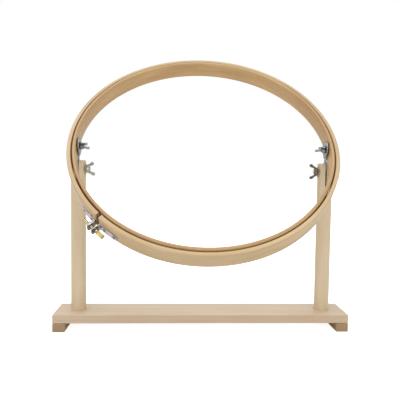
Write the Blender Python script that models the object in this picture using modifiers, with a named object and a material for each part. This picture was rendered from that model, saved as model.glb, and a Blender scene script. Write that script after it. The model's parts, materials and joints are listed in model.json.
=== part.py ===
"""Embroidery hoop on a beech table stand.

Metres, +Z up. The origin is on the ground under the centre of the hoop, +X runs to the
right along the base board and the hoop's working face looks towards -Y and up.
Every sub-part is its own object. Moving sub-parts hang from an empty on their axis.
"""

from math import atan2, cos, hypot, pi, radians, sin

import bmesh
import bpy
from mathutils import Euler, Matrix, Vector

MM = 0.001
GAP = 0.3 * MM                      # air between two touching pieces

# Base
BOARD_WIDTH = 400 * MM
BOARD_DEPTH = 58 * MM
BOARD_THICKNESS = 12 * MM
FOOT_WIDTH = 16.5 * MM
FOOT_HEIGHT = 12 * MM
BOARD_BOTTOM = FOOT_HEIGHT
BOARD_TOP = BOARD_BOTTOM + BOARD_THICKNESS
EASED_EDGE = 0.7 * MM

# Posts
POST_RADIUS = 10.2 * MM
POST_X = 170.2 * MM
POST_Y = 14 * MM
POST_TOP = 229.5 * MM
POST_SIDES = 40
POST_SOCKET_DEPTH = 8 * MM
SLOT_X = 169.3 * MM
SLOT_WIDTH = 2 * MM
SLOT_BOTTOM = 198 * MM
PIVOT_Z = 218 * MM                  # post bolt, where the bracket swings
SPOT_FACE_RADIUS = 7.5 * MM
SPOT_FACE_DEPTH = 1.1 * MM

# Hoop
HOOP_CENTRE = Vector((0, 0, 248.3 * MM))
HOOP_TILT = radians(42.5)           # from upright, leaning back
INNER_RING_IN = 168.6 * MM
INNER_RING_OUT = 172.9 * MM
OUTER_RING_IN = 174.1 * MM
OUTER_RING_OUT = 179.8 * MM
RING_DEPTH = 24 * MM
RING_STEPS = 96
RING_EASED_EDGE = 1.3 * MM
INNER_RING_FORWARD = 1.5 * MM        # how far the inner ring stands out of the outer one

# Brackets
BRACKET_WIDTH = 13 * MM
BRACKET_THICKNESS = 1.2 * MM
BRACKET_CRANK = 2 * MM              # how far the lower part is set outwards
CRANK_START = 14.3 * MM             # from the hoop's bolt
CRANK_END = 17.5 * MM
BRACKET_LENGTH = hypot(POST_Y, HOOP_CENTRE.z - PIVOT_Z)
BRACKET_LEAN = atan2(POST_Y, HOOP_CENTRE.z - PIVOT_Z)

# M5 hardware
HARDWARE_SIDES = 24
BOLT_RADIUS = 2.45 * MM
CLEARANCE_RADIUS = 2.8 * MM
BOLT_HEAD_RADIUS = 5.4 * MM
BOLT_HEAD_HEIGHT = 2.8 * MM
SUNK_HEAD_RADIUS = 4.7 * MM
SUNK_HEAD_HEIGHT = 2.3 * MM
POST_WASHER_RADIUS = 6.9 * MM
POST_WASHER_THICKNESS = 1.0 * MM
HOOP_WASHER_RADIUS = 11 * MM
HOOP_WASHER_THICKNESS = 1.2 * MM
WING_HUB_BASE = 5.2 * MM
WING_HUB_TOP = 4.3 * MM
WING_HUB_HEIGHT = 4.6 * MM
WING_THICKNESS = 1.9 * MM
WING_TIP = (8.5 * MM, 8.8 * MM)     # middle of a wing's round end, across and along the axis
WING_TIP_RADIUS = 1.6 * MM
BOLT_PAST_HUB = 0.9 * MM
POST_NUT_ANGLES = {"left": radians(34), "right": radians(3)}    # from vertical
HOOP_NUT_ANGLES = {"left": radians(74), "right": radians(100)}

# Clamp on the outer ring
CLAMP_ANGLE = radians(224.4)        # in the ring's plane, from +X
CLAMP_DEPTH = -4 * MM             # along the ring's axis
RING_SPLIT = 5.4 * MM
STRAP_WIDTH = 10 * MM
STRAP_THICKNESS = 1.2 * MM
STRAP_END_ROUNDING = 4.6 * MM
STRAP_REACH = 32 * MM               # from the split's middle to the strap's round end
STRAP_BEND_RADIUS = 2.2 * MM
EAR_HALF_GAP = 3.2 * MM
EAR_HEIGHT = 13 * MM
SCREW_STAND_OFF = 7.8 * MM
SCREW_RADIUS = 1.95 * MM
SCREW_HOLE_RADIUS = 2.3 * MM
SCREW_TAIL = 18.2 * MM
SCREW_HEAD_START = 8.7 * MM
SCREW_HEAD_END = 18.7 * MM
SCREW_HEAD_RADIUS = 3.1 * MM
SCREW_NECK_RADIUS = 2.6 * MM
CLAMP_WASHER_RADIUS = 4 * MM
CLAMP_WASHER_THICKNESS = 0.8 * MM
CLAMP_NUT_SIDE = 7 * MM
CLAMP_NUT_THICKNESS = 3.2 * MM
RIVET_RADIUS = 1.1 * MM
RIVET_HEAD_RADIUS = 1.9 * MM
RIVET_HEAD_HEIGHT = 0.7 * MM
RIVET_LENGTH = 4.2 * MM
RIVET_REACHES = (12 * MM, 27.5 * MM)
RIVET_SIDES = 12

# Wood screws under the base
WOOD_SCREW_RADIUS = 1.6 * MM
WOOD_SCREW_SIDES = 14
WOOD_SCREW_HEAD_RADIUS = 3.4 * MM
WOOD_SCREW_HEAD_HEIGHT = 2.0 * MM
FOOT_SCREW_LENGTH = 20 * MM
FOOT_SCREW_Y = 17 * MM
POST_SCREW_LENGTH = 22 * MM
FOOT_X = (BOARD_WIDTH - FOOT_WIDTH) / 2

# Colour, roughness, metallic
FINISHES = {
    "beech": ((0.72, 0.56, 0.38), 0.55, 0.0),
    "beech_ring": ((0.76, 0.58, 0.37), 0.5, 0.0),
    "zinc": ((0.55, 0.56, 0.56), 0.35, 1.0),
    "dark_zinc": ((0.32, 0.33, 0.33), 0.4, 1.0),
    "brass": ((0.80, 0.62, 0.28), 0.3, 1.0),
}

LEFT, RIGHT = -1, 1
SIDES = {"left": LEFT, "right": RIGHT}
# Turns a plate drawn in XY so that its x runs up its parent's Z and its face looks along X.
PLATE_FACES_X = Matrix(((0, 0, 1), (0, -1, 0), (1, 0, 0))).to_euler()


def clear_scene():
    for item in list(bpy.data.objects):
        bpy.data.objects.remove(item, do_unlink=True)


def new_collection(name):
    collection = bpy.data.collections.new(name)
    bpy.context.scene.collection.children.link(collection)
    return collection


clear_scene()
PARTS = new_collection("embroidery_hoop_stand")
CUTTERS = new_collection("cutters")


def finish(name):
    material = bpy.data.materials.get(name)
    if material is None:
        colour, roughness, metallic = FINISHES[name]
        material = bpy.data.materials.new(name)
        material.use_nodes = True
        shader = material.node_tree.nodes["Principled BSDF"]
        shader.inputs["Base Color"].default_value = (*colour, 1)
        shader.inputs["Roughness"].default_value = roughness
        shader.inputs["Metallic"].default_value = metallic
    return material


def add_object(name, data, collection, location=(0, 0, 0), rotation=(0, 0, 0), parent=None):
    item = bpy.data.objects.new(name, data)
    collection.objects.link(item)
    item.location = location
    item.rotation_euler = rotation
    item.parent = parent
    return item


def add_part(name, mesh, finish_name, location=(0, 0, 0), rotation=(0, 0, 0), parent=None):
    part = add_object(name, mesh, PARTS, location, rotation, parent)
    mesh.name = name
    mesh.materials.clear()
    mesh.materials.append(finish(finish_name))
    mesh.shade_smooth()
    mesh.set_sharp_from_angle(angle=radians(35))
    return part


def add_cutter(name, mesh, location=(0, 0, 0), rotation=(0, 0, 0), parent=None):
    cutter = add_object(name, mesh, CUTTERS, location, rotation, parent)
    cutter.hide_render = True
    cutter.display_type = "WIRE"
    return cutter


def add_axis(name, location, rotation=(0, 0, 0), parent=None):
    return add_object(name, None, PARTS, location, rotation, parent)


def boolean(part, other, operation="DIFFERENCE"):
    modifier = part.modifiers.new(operation.title(), "BOOLEAN")
    modifier.operation = operation
    modifier.solver = "EXACT"
    modifier.object = other


def mesh_from_bmesh(shape):
    mesh = bpy.data.meshes.new("shape")
    shape.to_mesh(mesh)
    shape.free()
    return mesh


def box_mesh(size_x, size_y, size_z, eased=0.0):
    shape = bmesh.new()
    bmesh.ops.create_cube(shape, size=1, matrix=Matrix.Diagonal((size_x, size_y, size_z, 1)))
    if eased:
        bmesh.ops.bevel(shape, geom=shape.edges[:], offset=eased, segments=1, profile=0.5, affect="EDGES")
    return mesh_from_bmesh(shape)


def rod_mesh(radius, length, sides=HARDWARE_SIDES):
    """A rod on Z that starts at the origin."""
    shape = bmesh.new()
    bmesh.ops.create_cone(
        shape, cap_ends=True, segments=sides, radius1=radius, radius2=radius, depth=length,
        matrix=Matrix.Translation((0, 0, length / 2)))
    return mesh_from_bmesh(shape)


def turned_mesh(profile, steps, closed=False):
    """Turns a profile of (radius, height) points, given top to bottom on the outer side, about Z."""
    outline = bpy.data.meshes.new("profile")
    edges = [(i, i + 1) for i in range(len(profile) - 1)]
    if closed:
        edges.append((len(profile) - 1, 0))
    outline.from_pydata([(radius, 0, height) for radius, height in profile], edges, [])
    source = add_object("profile", outline, CUTTERS)
    screw = source.modifiers.new("Screw", "SCREW")
    screw.axis = "Z"
    screw.angle = 2 * pi
    screw.steps = screw.render_steps = steps
    screw.use_merge_vertices = True
    screw.merge_threshold = 0.01 * MM
    mesh = evaluated_mesh(source)
    bpy.data.objects.remove(source, do_unlink=True)
    bpy.data.meshes.remove(outline)
    return mesh


def evaluated_mesh(source):
    bpy.context.view_layer.update()
    graph = bpy.context.evaluated_depsgraph_get()
    return bpy.data.meshes.new_from_object(source.evaluated_get(graph))


def plate_mesh(outline, thickness, holes=()):
    """A flat plate in XY, centred on Z, with round holes given as (x, y, radius)."""
    curve = bpy.data.curves.new("outline", "CURVE")
    curve.dimensions = "2D"
    curve.fill_mode = "BOTH"
    curve.extrude = thickness / 2
    loops = [outline]
    for x, y, radius in holes:
        loops.append(arc_points((x, y), radius, 0, 2 * pi, HARDWARE_SIDES)[:-1])
    for loop in loops:
        spline = curve.splines.new("POLY")
        spline.points.add(len(loop) - 1)
        spline.use_cyclic_u = True
        for point, (x, y) in zip(spline.points, loop):
            point.co = (x, y, 0, 1)
    source = add_object("outline", curve, CUTTERS)
    mesh = evaluated_mesh(source)
    bpy.data.objects.remove(source, do_unlink=True)
    bpy.data.curves.remove(curve)
    shape = bmesh.new()
    shape.from_mesh(mesh)
    bpy.data.meshes.remove(mesh)
    bmesh.ops.remove_doubles(shape, verts=shape.verts, dist=0.001 * MM)
    bmesh.ops.recalc_face_normals(shape, faces=shape.faces)
    return mesh_from_bmesh(shape)


def arc_points(centre, radius, start, end, steps):
    angles = [start + (end - start) * i / steps for i in range(steps + 1)]
    return [(centre[0] + radius * cos(a), centre[1] + radius * sin(a)) for a in angles]


def point_along_x(side):
    """Rotation that turns a shape's +Z to point from a side towards the middle of the stand."""
    return (0, -side * pi / 2, 0)


# ---------------------------------------------------------------- base

def make_wood_screw(name, location, length):
    """A countersunk screw driven upwards, its head just inside the wood."""
    point_length = 4 * MM
    profile = [
        (0, length), (0.4 * MM, length), (WOOD_SCREW_RADIUS, length - point_length),
        (WOOD_SCREW_RADIUS, WOOD_SCREW_HEAD_HEIGHT), (WOOD_SCREW_HEAD_RADIUS, 0), (0, 0)]
    add_part(name, turned_mesh(profile, WOOD_SCREW_SIDES), "zinc", location)


def make_screw_hole(name, location, length):
    """The space for a wood screw, a gap wider than the screw all round."""
    below = 2 * MM
    mouth = WOOD_SCREW_HEAD_RADIUS + 2 * GAP
    profile = [
        (0, length + GAP), (WOOD_SCREW_RADIUS + GAP, length + GAP),
        (WOOD_SCREW_RADIUS + GAP, WOOD_SCREW_HEAD_HEIGHT + GAP), (mouth, 0), (mouth, -below), (0, -below)]
    return add_cutter(name, turned_mesh(profile, WOOD_SCREW_SIDES), location)


def make_base():
    board = add_part(
        "base_board", box_mesh(BOARD_WIDTH, BOARD_DEPTH, BOARD_THICKNESS, EASED_EDGE), "beech",
        (0, POST_Y, BOARD_BOTTOM + BOARD_THICKNESS / 2))
    foot_height = FOOT_HEIGHT - GAP
    head_recess = 0.6 * MM
    for side_name, side in SIDES.items():
        foot = add_part(
            f"{side_name}_foot", box_mesh(FOOT_WIDTH, BOARD_DEPTH, foot_height, EASED_EDGE), "beech",
            (side * FOOT_X, POST_Y, foot_height / 2))
        for end_name, end in (("front", -1), ("rear", 1)):
            place = (side * FOOT_X, POST_Y + end * FOOT_SCREW_Y, head_recess)
            make_wood_screw(f"{side_name}_foot_{end_name}_screw", place, FOOT_SCREW_LENGTH)
            hole = make_screw_hole(f"{side_name}_{end_name}_hole", place, FOOT_SCREW_LENGTH)
            boolean(foot, hole)
            boolean(board, hole)
        socket = add_cutter(
            f"{side_name}_socket", rod_mesh(POST_RADIUS + GAP, POST_SOCKET_DEPTH + MM, POST_SIDES),
            (side * POST_X, POST_Y, BOARD_TOP - POST_SOCKET_DEPTH))
        boolean(board, socket)
        place = (side * POST_X, POST_Y, BOARD_BOTTOM + head_recess)
        make_wood_screw(f"{side_name}_post_screw", place, POST_SCREW_LENGTH)
        hole = make_screw_hole(f"{side_name}_post_screw_hole", place, POST_SCREW_LENGTH)
        boolean(board, hole)
        make_post(side_name, side, hole)


def make_post(side_name, side, screw_hole):
    """A dowel glued in the board, its top sawn with a slot for the bracket."""
    bottom = BOARD_TOP - POST_SOCKET_DEPTH + GAP
    height = POST_TOP - bottom
    eased = 0.8 * MM
    profile = [
        (0, height), (POST_RADIUS - eased, height), (POST_RADIUS, height - eased),
        (POST_RADIUS, eased), (POST_RADIUS - eased, 0), (0, 0)]
    post = add_part(
        f"{side_name}_post", turned_mesh(profile, POST_SIDES), "beech", (side * POST_X, POST_Y, bottom))
    boolean(post, screw_hole)

    over = 5 * MM
    slot_height = POST_TOP - SLOT_BOTTOM + over
    slot = add_cutter(
        f"{side_name}_slot", box_mesh(SLOT_WIDTH, 4 * POST_RADIUS, slot_height),
        (side * SLOT_X, POST_Y, SLOT_BOTTOM + slot_height / 2))
    boolean(post, slot)

    reach = 4 * POST_RADIUS
    bolt_hole = add_cutter(
        f"{side_name}_post_bolt_hole", rod_mesh(CLEARANCE_RADIUS, reach),
        (side * (POST_X + reach / 2), POST_Y, PIVOT_Z), point_along_x(side))
    boolean(post, bolt_hole)
    for face_name, direction in (("outer", 1), ("inner", -1)):
        face = POST_X + direction * (POST_RADIUS - SPOT_FACE_DEPTH)
        spot = add_cutter(
            f"{side_name}_{face_name}_spot_face", rod_mesh(SPOT_FACE_RADIUS, over),
            (side * face, POST_Y, PIVOT_Z), point_along_x(-direction * side))
        boolean(post, spot)


# ---------------------------------------------------------------- fasteners

def washer_mesh(radius, thickness, hole_radius=CLEARANCE_RADIUS):
    profile = [(radius, thickness), (radius, 0), (hole_radius, 0), (hole_radius, thickness)]
    return turned_mesh(profile, HARDWARE_SIDES, closed=True)


def wing_outline(side):
    """One wing of a wing nut, in the plane of the nut's axis, as (across, along) points.

    It starts inside the hub, leaves it low down and ends in a round tip.
    """
    root, foot = (3.2 * MM, 0.7 * MM), (5.3 * MM, 1.0 * MM)
    throat, hub_top, hub_side = (5.0 * MM, 6.0 * MM), (4.1 * MM, 4.3 * MM), (3.2 * MM, 4.1 * MM)
    tip = arc_points(WING_TIP, WING_TIP_RADIUS, radians(-35), radians(145), 6)
    points = [root, foot, *tip, throat, hub_top, hub_side]
    return [(side * across, along) for across, along in points]


def make_wing_nut(name, finish_name, location, side, angle):
    """A wing nut whose flat base is at the location and whose wings point to the stand's middle."""
    profile = [
        (WING_HUB_TOP, WING_HUB_HEIGHT), (WING_HUB_BASE, 1.2 * MM), (WING_HUB_BASE, 0),
        (CLEARANCE_RADIUS, 0), (CLEARANCE_RADIUS, WING_HUB_HEIGHT)]
    turned = Euler(point_along_x(side)).to_matrix() @ Matrix.Rotation(angle, 3, "Z")
    hub = turned_mesh(profile, HARDWARE_SIDES, closed=True)
    nut = add_part(name, hub, finish_name, location, turned.to_euler())
    for wing_side in (LEFT, RIGHT):
        wing = add_cutter(
            f"{name}_wing_{wing_side + 1}", plate_mesh(wing_outline(wing_side), WING_THICKNESS),
            rotation=(pi / 2, 0, 0), parent=nut)
        boolean(nut, wing, "UNION")


def make_post_fasteners(side_name, side):
    """The bolt that clamps the slot on the bracket, its washer and its wing nut."""
    head_face = POST_X + POST_RADIUS - SPOT_FACE_DEPTH + GAP
    washer_face = POST_X - POST_RADIUS + SPOT_FACE_DEPTH - GAP
    nut_face = washer_face - POST_WASHER_THICKNESS - GAP
    length = head_face - nut_face + WING_HUB_HEIGHT + BOLT_PAST_HUB
    profile = [
        (0, length), (BOLT_RADIUS - 0.5 * MM, length), (BOLT_RADIUS, length - 0.5 * MM),
        (BOLT_RADIUS, 0), (BOLT_HEAD_RADIUS, 0), (BOLT_HEAD_RADIUS, -0.35 * BOLT_HEAD_HEIGHT),
        (0.8 * BOLT_HEAD_RADIUS, -0.78 * BOLT_HEAD_HEIGHT), (0.4 * BOLT_HEAD_RADIUS, -BOLT_HEAD_HEIGHT),
        (0, -BOLT_HEAD_HEIGHT)]
    inwards = point_along_x(side)
    add_part(
        f"{side_name}_post_bolt", turned_mesh(profile, HARDWARE_SIDES), "zinc",
        (side * head_face, POST_Y, PIVOT_Z), inwards)
    add_part(
        f"{side_name}_post_washer", washer_mesh(POST_WASHER_RADIUS, POST_WASHER_THICKNESS), "zinc",
        (side * washer_face, POST_Y, PIVOT_Z), inwards)
    make_wing_nut(
        f"{side_name}_post_wing_nut", "zinc", (side * nut_face, POST_Y, PIVOT_Z), side,
        POST_NUT_ANGLES[side_name])


# ---------------------------------------------------------------- brackets

def crank(mesh, offset):
    """Shifts the hoop end of a bracket along Z, with two bends below the hoop's bolt."""
    shape = bmesh.new()
    shape.from_mesh(mesh)
    lower_bend = BRACKET_LENGTH - CRANK_END
    upper_bend = BRACKET_LENGTH - CRANK_START
    for bend in (lower_bend, upper_bend):
        bmesh.ops.bisect_plane(
            shape, geom=[*shape.verts, *shape.edges, *shape.faces], plane_co=(bend, 0, 0), plane_no=(1, 0, 0))
    for vertex in shape.verts:
        share = (vertex.co.x - lower_bend) / (upper_bend - lower_bend)
        vertex.co.z += offset * min(1, max(0, share))
    bmesh.ops.triangulate(shape, faces=shape.faces)
    shape.to_mesh(mesh)
    shape.free()
    return mesh


def make_bracket(side_name, side):
    """A steel strip with round ends, cranked between the slot in the post and the hoop."""
    half = BRACKET_WIDTH / 2
    outline = arc_points((0, 0), half, pi / 2, 3 * pi / 2, 12)
    outline += arc_points((BRACKET_LENGTH, 0), half, -pi / 2, pi / 2, 12)
    holes = [(0, 0, CLEARANCE_RADIUS), (BRACKET_LENGTH, 0, CLEARANCE_RADIUS)]
    axis = add_axis(f"{side_name}_bracket_axis", (side * SLOT_X, POST_Y, PIVOT_Z), (BRACKET_LEAN, 0, 0))
    strip = crank(plate_mesh(outline, BRACKET_THICKNESS, holes), -side * BRACKET_CRANK)
    add_part(f"{side_name}_bracket", strip, "zinc", rotation=PLATE_FACES_X, parent=axis)


# ---------------------------------------------------------------- hoop

def ring_mesh(inside, outside):
    half = RING_DEPTH / 2
    eased = RING_EASED_EDGE
    profile = [
        (inside + eased, half), (outside - eased, half), (outside, half - eased),
        (outside, eased - half), (outside - eased, -half), (inside + eased, -half),
        (inside, eased - half), (inside, half - eased)]
    return turned_mesh(profile, RING_STEPS, closed=True)


def make_inner_ring(hoop):
    """The closed ring that carries the hoop on its two bolts."""
    ring = add_part(
        "inner_ring", ring_mesh(INNER_RING_IN, INNER_RING_OUT), "beech_ring",
        (0, 0, INNER_RING_FORWARD), parent=hoop)
    for side_name, side in SIDES.items():
        start = INNER_RING_OUT + 2 * MM
        sink = SUNK_HEAD_RADIUS + GAP
        head_face = INNER_RING_OUT - 0.4 * MM
        profile = [
            (0, 20 * MM), (CLEARANCE_RADIUS, 20 * MM),
            (CLEARANCE_RADIUS, start - head_face + SUNK_HEAD_HEIGHT + GAP),
            (sink, start - head_face), (sink, 0), (0, 0)]
        hole = add_cutter(
            f"{side_name}_hoop_bolt_hole", turned_mesh(profile, HARDWARE_SIDES), (side * start, 0, 0),
            point_along_x(side), hoop)
        boolean(ring, hole)
        make_hoop_fasteners(side_name, side, head_face, hoop)


def make_hoop_fasteners(side_name, side, head_face, hoop):
    """The sunk bolt in the inner ring, with a wide washer and a wing nut inside the bracket."""
    washer_face = SLOT_X - BRACKET_CRANK - BRACKET_THICKNESS / 2 - GAP
    nut_face = washer_face - HOOP_WASHER_THICKNESS - GAP
    length = head_face - nut_face + WING_HUB_HEIGHT + BOLT_PAST_HUB
    profile = [
        (0, length), (BOLT_RADIUS - 0.5 * MM, length), (BOLT_RADIUS, length - 0.5 * MM),
        (BOLT_RADIUS, SUNK_HEAD_HEIGHT), (SUNK_HEAD_RADIUS, 0), (0, 0)]
    inwards = point_along_x(side)
    add_part(
        f"{side_name}_hoop_bolt", turned_mesh(profile, HARDWARE_SIDES), "dark_zinc",
        (side * head_face, 0, 0), inwards, hoop)
    add_part(
        f"{side_name}_hoop_washer", washer_mesh(HOOP_WASHER_RADIUS, HOOP_WASHER_THICKNESS), "zinc",
        (side * washer_face, 0, 0), inwards, hoop)
    place = HOOP_CENTRE + Vector((side * nut_face, 0, 0))
    make_wing_nut(
        f"{side_name}_hoop_wing_nut", "dark_zinc", place, side, HOOP_NUT_ANGLES[side_name])


def strap_outline(end):
    """A clamp strap seen along the ring's axis, in the clamp's own x (along) and y (outwards).

    It lies on the ring, bends up through a quarter turn and stands out as an ear.
    """
    inner = OUTER_RING_OUT + GAP
    outer = inner + STRAP_THICKNESS
    ear_inside = EAR_HALF_GAP
    ear_outside = ear_inside + STRAP_THICKNESS
    bend = STRAP_BEND_RADIUS
    # Angle, from the clamp's middle, where the strap leaves the ring and where it ends.
    leave = (ear_outside + bend) / outer
    finish_angle = STRAP_REACH / outer
    bend_centre = (ear_outside + bend, (outer + bend) * cos(leave))
    heel = STRAP_THICKNESS + bend
    steps = 10
    points = [(ear_inside, inner + EAR_HEIGHT), (ear_outside, inner + EAR_HEIGHT)]
    points += arc_points(bend_centre, bend, pi, 3 * pi / 2 - leave, 6)
    points += [(outer * sin(a), outer * cos(a)) for a in
               (leave + (finish_angle - leave) * i / steps for i in range(1, steps + 1))]
    points += [(inner * sin(a), inner * cos(a)) for a in
               (finish_angle + (leave - finish_angle) * i / steps for i in range(steps))]
    points += arc_points(bend_centre, heel, 3 * pi / 2 - leave, pi, 6)
    return [(end * x, y) for x, y in points]


def round_strap_end(mesh, end, radius):
    """Rounds the corners at the far end of a strap."""
    shape = bmesh.new()
    shape.from_mesh(mesh)
    edges = [
        edge for edge in shape.edges
        if all(end * v.co.x > 0.93 * STRAP_REACH for v in edge.verts)
        and abs(edge.verts[0].co.z - edge.verts[1].co.z) < 0.01 * MM
        and abs(edge.calc_length() - STRAP_THICKNESS) < 0.05 * MM]
    bmesh.ops.bevel(shape, geom=edges, offset=radius, segments=8, profile=0.5, affect="EDGES")
    shape.to_mesh(mesh)
    shape.free()


def make_outer_ring(hoop):
    """The split ring, its two clamp straps and the screw that draws them together."""
    ring = add_part("outer_ring", ring_mesh(OUTER_RING_IN, OUTER_RING_OUT), "beech_ring", parent=hoop)
    # The clamp's frame: x along the ring away from +X, y outwards, z along the ring's axis.
    clamp = add_axis("clamp_frame", (0, 0, 0), (0, 0, CLAMP_ANGLE - pi / 2), hoop)
    split = add_cutter(
        "ring_split", box_mesh(RING_SPLIT, 20 * MM, 2 * RING_DEPTH),
        (0, (OUTER_RING_IN + OUTER_RING_OUT) / 2, 0), parent=clamp)
    boolean(ring, split)
    # Going along +x in the clamp's frame goes back round the ring, towards the left post.
    for name, end in (("upper", 1), ("lower", -1)):
        mesh = plate_mesh(strap_outline(end), STRAP_WIDTH)
        round_strap_end(mesh, end, STRAP_END_ROUNDING)
        strap = add_part(f"{name}_clamp_strap", mesh, "zinc", (0, 0, CLAMP_DEPTH), parent=clamp)
        screw_hole = add_cutter(
            f"{name}_ear_hole", rod_mesh(SCREW_HOLE_RADIUS, 12 * MM),
            (end * (EAR_HALF_GAP - 3 * MM), OUTER_RING_OUT + SCREW_STAND_OFF, CLAMP_DEPTH),
            (0, end * pi / 2, 0), clamp)
        boolean(strap, screw_hole)
        for number, reach in enumerate(RIVET_REACHES, start=1):
            make_rivet(f"{name}_strap_rivet_{number}", end * reach, ring, strap, clamp)
    make_clamp_screw(clamp)


def make_rivet(name, reach, ring, strap, clamp):
    """A pin through the strap into the wood."""
    angle = reach / OUTER_RING_OUT
    seat = OUTER_RING_OUT + 2 * GAP + STRAP_THICKNESS + 0.05 * MM
    place = (seat * sin(angle), seat * cos(angle), CLAMP_DEPTH)
    # Z of the rivet points into the ring.
    inwards = Matrix(((0, cos(angle), -sin(angle)), (0, -sin(angle), -cos(angle)), (-1, 0, 0))).to_euler()
    length = STRAP_THICKNESS + RIVET_LENGTH
    profile = [
        (0, length), (RIVET_RADIUS, length), (RIVET_RADIUS, 0), (RIVET_HEAD_RADIUS, 0),
        (0.8 * RIVET_HEAD_RADIUS, -0.7 * RIVET_HEAD_HEIGHT), (0, -RIVET_HEAD_HEIGHT)]
    add_part(name, turned_mesh(profile, RIVET_SIDES), "dark_zinc", place, inwards, clamp)
    hole_mesh = rod_mesh(RIVET_RADIUS + GAP, length + GAP, RIVET_SIDES)
    hole = add_cutter(f"{name}_hole", hole_mesh, place, inwards, clamp)
    boolean(strap, hole)
    boolean(ring, hole)


def make_clamp_screw(clamp):
    """The thumb screw along the ring's tangent: head on the lower ear, nut on the upper ear."""
    height = OUTER_RING_OUT + SCREW_STAND_OFF
    ear_face = EAR_HALF_GAP + STRAP_THICKNESS + GAP
    washer_end = ear_face + CLAMP_WASHER_THICKNESS
    neck_start = washer_end + GAP
    # Drawn with its head downwards on Z and turned so that the head is at -x.
    profile = [
        (0, SCREW_TAIL), (SCREW_RADIUS - 0.5 * MM, SCREW_TAIL), (SCREW_RADIUS, SCREW_TAIL - 0.5 * MM),
        (SCREW_RADIUS, -neck_start), (SCREW_NECK_RADIUS, -neck_start), (SCREW_NECK_RADIUS, -SCREW_HEAD_START),
        (SCREW_HEAD_RADIUS, -SCREW_HEAD_START - 0.6 * MM), (SCREW_HEAD_RADIUS, -SCREW_HEAD_END + 0.9 * MM),
        (SCREW_HEAD_RADIUS - 0.9 * MM, -SCREW_HEAD_END), (0, -SCREW_HEAD_END)]
    along = (0, pi / 2, 0)
    add_part(
        "clamp_screw", turned_mesh(profile, HARDWARE_SIDES), "brass", (0, height, CLAMP_DEPTH), along, clamp)
    add_part(
        "clamp_washer", washer_mesh(CLAMP_WASHER_RADIUS, CLAMP_WASHER_THICKNESS, SCREW_HOLE_RADIUS),
        "dark_zinc", (-ear_face, height, CLAMP_DEPTH), (0, -pi / 2, 0), clamp)
    side = CLAMP_NUT_SIDE / 2
    square = [(-side, -side), (side, -side), (side, side), (-side, side)]
    add_part(
        "clamp_nut", plate_mesh(square, CLAMP_NUT_THICKNESS, [(0, 0, SCREW_HOLE_RADIUS)]), "dark_zinc",
        (ear_face + CLAMP_NUT_THICKNESS / 2, height, CLAMP_DEPTH), along, clamp)


def main():
    make_base()
    for side_name, side in SIDES.items():
        make_post_fasteners(side_name, side)
        make_bracket(side_name, side)
    hoop = add_axis("hoop_axis", HOOP_CENTRE, (pi / 2 - HOOP_TILT, 0, 0))
    make_inner_ring(hoop)
    make_outer_ring(hoop)


main()
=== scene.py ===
"""The looks of an embroidery hoop on its table stand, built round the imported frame."""

import json
from math import asin, atan2, cos, hypot, pi, radians, sin, sqrt, tau

import bmesh
import bpy
from mathutils import Matrix, Vector


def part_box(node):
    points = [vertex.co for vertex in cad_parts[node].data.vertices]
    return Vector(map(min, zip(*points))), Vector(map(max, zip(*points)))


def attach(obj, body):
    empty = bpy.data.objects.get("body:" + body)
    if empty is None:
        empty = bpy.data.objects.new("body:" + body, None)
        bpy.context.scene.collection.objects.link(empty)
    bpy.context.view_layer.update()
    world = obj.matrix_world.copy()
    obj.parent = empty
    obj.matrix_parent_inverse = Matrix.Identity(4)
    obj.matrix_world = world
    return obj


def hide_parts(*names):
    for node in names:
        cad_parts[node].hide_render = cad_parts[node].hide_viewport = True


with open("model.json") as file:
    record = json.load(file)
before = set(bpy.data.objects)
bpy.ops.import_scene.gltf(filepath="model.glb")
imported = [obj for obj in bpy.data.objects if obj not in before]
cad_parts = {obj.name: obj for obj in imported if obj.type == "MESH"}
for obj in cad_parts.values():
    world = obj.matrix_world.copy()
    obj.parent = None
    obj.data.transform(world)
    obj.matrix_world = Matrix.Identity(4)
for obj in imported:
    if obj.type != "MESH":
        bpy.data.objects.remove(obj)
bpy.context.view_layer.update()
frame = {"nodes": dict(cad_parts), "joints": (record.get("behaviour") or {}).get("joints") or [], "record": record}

MM = 0.001
LEFT, RIGHT = -1, 1
SIDES = {"left": LEFT, "right": RIGHT}
NODES = frame["nodes"]
JOINTS = {joint["name"]: joint for joint in frame["joints"]}
BODY_OF = {
    node: body
    for body, members in frame["record"]["behaviour"]["bodies"].items()
    for node in members}
SLOT_OF = {part["node"]: part["material_slot"] for part in frame["record"]["subparts"]}

# Sizes that the frame's boxes don't give
WOOD_EDGE = 1.0 * MM                # how far the base's edges are rounded
RING_EDGE = 1.5 * MM
RING_SPLIT = 5.4 * MM
SCARF_LENGTH = 36 * MM              # the inner ring's glued overlap
SCARF_ANGLE = radians(285)
SCARF_LINE = 0.05 * MM
JOINT_SHADE_REACH = 0.9 * MM              # how far the painted shade at the rings' joint runs onto their rims
JOINT_SHADE_DEPTH = 5 * MM                # and how far it runs into the joint
JOINT_SHADE_ABOVE_CLAMP = 2 * MM          # on the left it begins this far above the clamp's screw
JOINT_SHADE_LEFT_FADE = 12 * MM           # and is full this much higher
JOINT_SHADE_RIGHT_LOW = -140 * MM         # on the right it begins here, counted from the hoop's middle
JOINT_SHADE_RIGHT_FADE = 60 * MM          # and is full this much higher
# How strongly the base board's front face is darkened as painted shade.
BOARD_FRONT_PAINTED_SHADE = 0.28
METAL_EDGE = 0.25 * MM
M5_PITCH = 0.8 * MM
M4_PITCH = 0.7 * MM
THREAD_DEPTH = 0.35 * MM
ROWS_PER_THREAD = 6
BOLT_CLEARANCE = 2.8 * MM           # radius of the holes that an M5 bolt passes through
RECESS_ARM = 1.1 * MM               # width of a cross-head recess's arms
STRAP_THICKNESS = 1.2 * MM
STRAP_GAP = 0.15 * MM               # between a strap and the ring
STRAP_BEND_RADIUS = 2.2 * MM
STRAP_END_RADIUS = 4.7 * MM
EAR_RADIUS = 3.2 * MM
RIVET_REACHES = (12 * MM, 27.5 * MM)
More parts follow.
